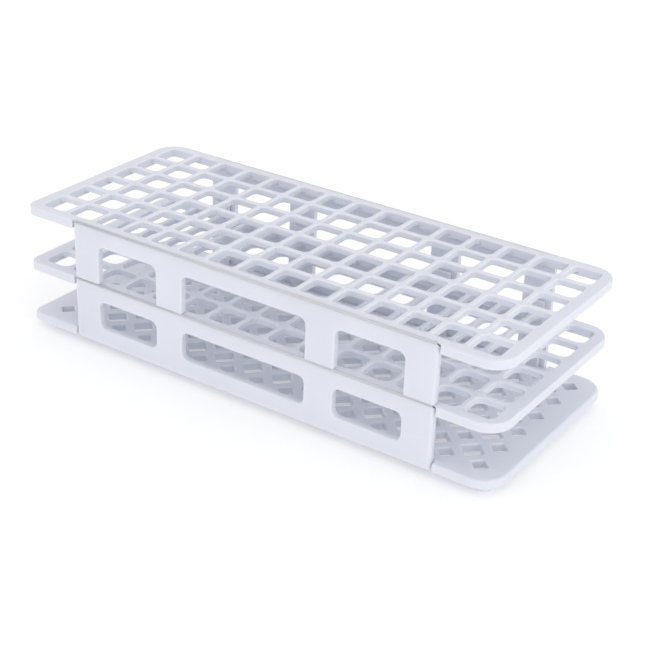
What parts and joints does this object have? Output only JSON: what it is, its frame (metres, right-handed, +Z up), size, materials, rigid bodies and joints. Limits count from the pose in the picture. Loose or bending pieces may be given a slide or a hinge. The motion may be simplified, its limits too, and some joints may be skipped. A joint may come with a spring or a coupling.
{
  "type": "test tube rack",
  "caption": "Low three-tier plastic test tube rack: two square-hole grids over a diamond-lattice base, with folding windowed side walls.",
  "frame": {"origin": "centre of the footprint at the level of the feet's undersides", "axes": "+X along the rack's length, +Z up, -Y towards the front wall; front and back are alike"},
  "size_m": [0.246, 0.103, 0.061],
  "materials": {
    "rack_plastic": "satin moulded polypropylene"
  },
  "bodies": {
    "base": {"base_plate": "rack_plastic"},
    "middle_tier": {"middle_plate": "rack_plastic", "lower_web_front": "rack_plastic", "lower_web_back": "rack_plastic"},
    "top_tier": {"top_plate": "rack_plastic", "upper_web_front": "rack_plastic", "upper_web_back": "rack_plastic"},
    "lower_wall_front": {"lower_wall_front": "rack_plastic"},
    "lower_wall_back": {"lower_wall_back": "rack_plastic"},
    "upper_wall_front": {"upper_wall_front": "rack_plastic"},
    "upper_wall_back": {"upper_wall_back": "rack_plastic"}
  },
  "joints": [
    {"name": "middle_tier_lift", "type": "slide", "parent": "base", "child": "middle_tier", "axis": [0, 0, 1], "range_m": [0, 0.04]},
    {"name": "top_tier_lift", "type": "slide", "parent": "middle_tier", "child": "top_tier", "axis": [0, 0, 1], "range_m": [0, 0.04]},
    {"name": "lower_front_fold", "type": "hinge", "parent": "middle_tier", "child": "lower_wall_front", "pos_m": [0, -0.05133, 0.03323], "axis": [-1, 0, 0], "range_deg": [0, 90], "deforming": ["lower_web_front"]},
    {"name": "lower_back_fold", "type": "hinge", "parent": "middle_tier", "child": "lower_wall_back", "pos_m": [0, 0.05133, 0.03323], "axis": [1, 0, 0], "range_deg": [0, 90], "deforming": ["lower_web_back"]},
    {"name": "upper_front_fold", "type": "hinge", "parent": "top_tier", "child": "upper_wall_front", "pos_m": [0, -0.05133, 0.06083], "axis": [-1, 0, 0], "range_deg": [0, 90], "deforming": ["upper_web_front"]},
    {"name": "upper_back_fold", "type": "hinge", "parent": "top_tier", "child": "upper_wall_back", "pos_m": [0, 0.05133, 0.06083], "axis": [1, 0, 0], "range_deg": [0, 90], "deforming": ["upper_web_back"]}
  ]
}
